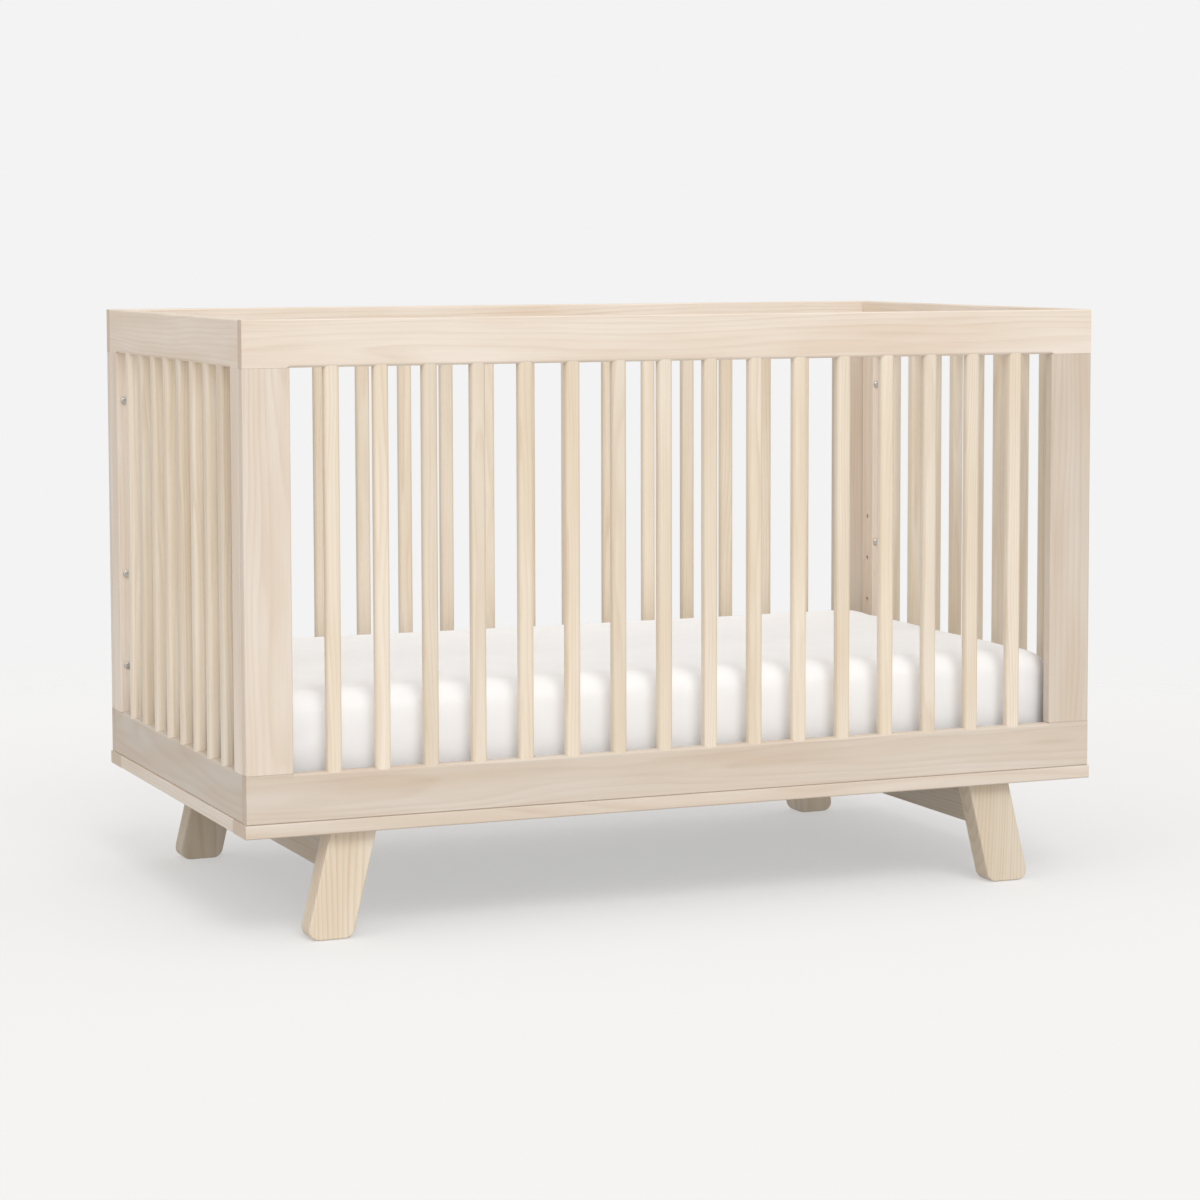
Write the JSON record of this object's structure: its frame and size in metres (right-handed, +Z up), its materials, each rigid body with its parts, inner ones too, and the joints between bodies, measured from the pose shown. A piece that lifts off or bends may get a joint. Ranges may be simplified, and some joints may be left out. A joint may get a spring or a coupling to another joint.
{
  "type": "baby crib",
  "caption": "Full-size baby crib with slatted sides on a low base frame with splayed legs, an adjustable mattress support and a mattress in a fitted sheet.",
  "frame": {"origin": "on the floor, at the middle of the crib's length and depth", "axes": "+X along the length to the right as seen from the front, +Y towards the back, +Z up"},
  "size_m": [1.369, 0.76, 0.889],
  "materials": {
    "pine_boards": "washed, clear-lacquered pine boards",
    "pine_slats": "washed, clear-lacquered pine slats, slightly warmer than the boards",
    "pine_legs": "washed, clear-lacquered pine with upright grain",
    "zinc_bolts": "zinc-plated steel, satin",
    "support_steel": "grey powder-coated steel",
    "cotton_sheet": "white woven cotton, matte"
  },
  "bodies": {
    "root": {"front_top_rail": "pine_boards", "front_bottom_rail": "pine_boards", "front_left_stile": "pine_boards", "front_right_stile": "pine_boards", "front_slats": "pine_slats", "back_top_rail": "pine_boards", "back_bottom_rail": "pine_boards", "back_left_stile": "pine_boards", "back_right_stile": "pine_boards", "back_slats": "pine_slats", "left_top_rail": "pine_boards", "left_bottom_rail": "pine_boards", "left_front_post": "pine_boards", "left_rear_post": "pine_boards", "left_slats": "pine_slats", "right_top_rail": "pine_boards", "right_bottom_rail": "pine_boards", "right_front_post": "pine_boards", "right_rear_post": "pine_boards", "right_slats": "pine_slats", "base_front_board": "pine_boards", "base_rear_board": "pine_boards", "base_left_board": "pine_boards", "base_right_board": "pine_boards", "leg_front_left": "pine_legs", "leg_front_right": "pine_legs", "leg_rear_left": "pine_legs", "leg_rear_right": "pine_legs", "stretcher_left": "pine_legs", "stretcher_right": "pine_legs", "bolt_left_front_low": "zinc_bolts", "bolt_left_front_middle": "zinc_bolts", "bolt_left_front_high": "zinc_bolts", "bolt_left_rear_low": "zinc_bolts", "bolt_left_rear_middle": "zinc_bolts", "bolt_left_rear_high": "zinc_bolts", "bolt_right_front_low": "zinc_bolts", "bolt_right_front_middle": "zinc_bolts", "bolt_right_front_high": "zinc_bolts", "bolt_right_rear_low": "zinc_bolts", "bolt_right_rear_middle": "zinc_bolts", "bolt_right_rear_high": "zinc_bolts", "support_pin_front_left": "zinc_bolts", "support_pin_front_right": "zinc_bolts", "support_pin_rear_left": "zinc_bolts", "support_pin_rear_right": "zinc_bolts"},
    "mattress_support": {"support_front_rail": "support_steel", "support_rear_rail": "support_steel", "support_left_rail": "support_steel", "support_right_rail": "support_steel", "support_deck": "support_steel", "hanger_front_left": "support_steel", "hanger_front_right": "support_steel", "hanger_rear_left": "support_steel", "hanger_rear_right": "support_steel"},
    "mattress": {"mattress": "cotton_sheet"}
  },
  "joints": [
    {"name": "mattress_support_height", "type": "slide", "parent": "root", "child": "mattress_support", "axis": [0, 0, 1], "range_m": [0, 0.219]},
    {"name": "mattress_lift", "type": "slide", "parent": "mattress_support", "child": "mattress", "axis": [0, 0, 1], "range_m": [0, 0.6]}
  ]
}
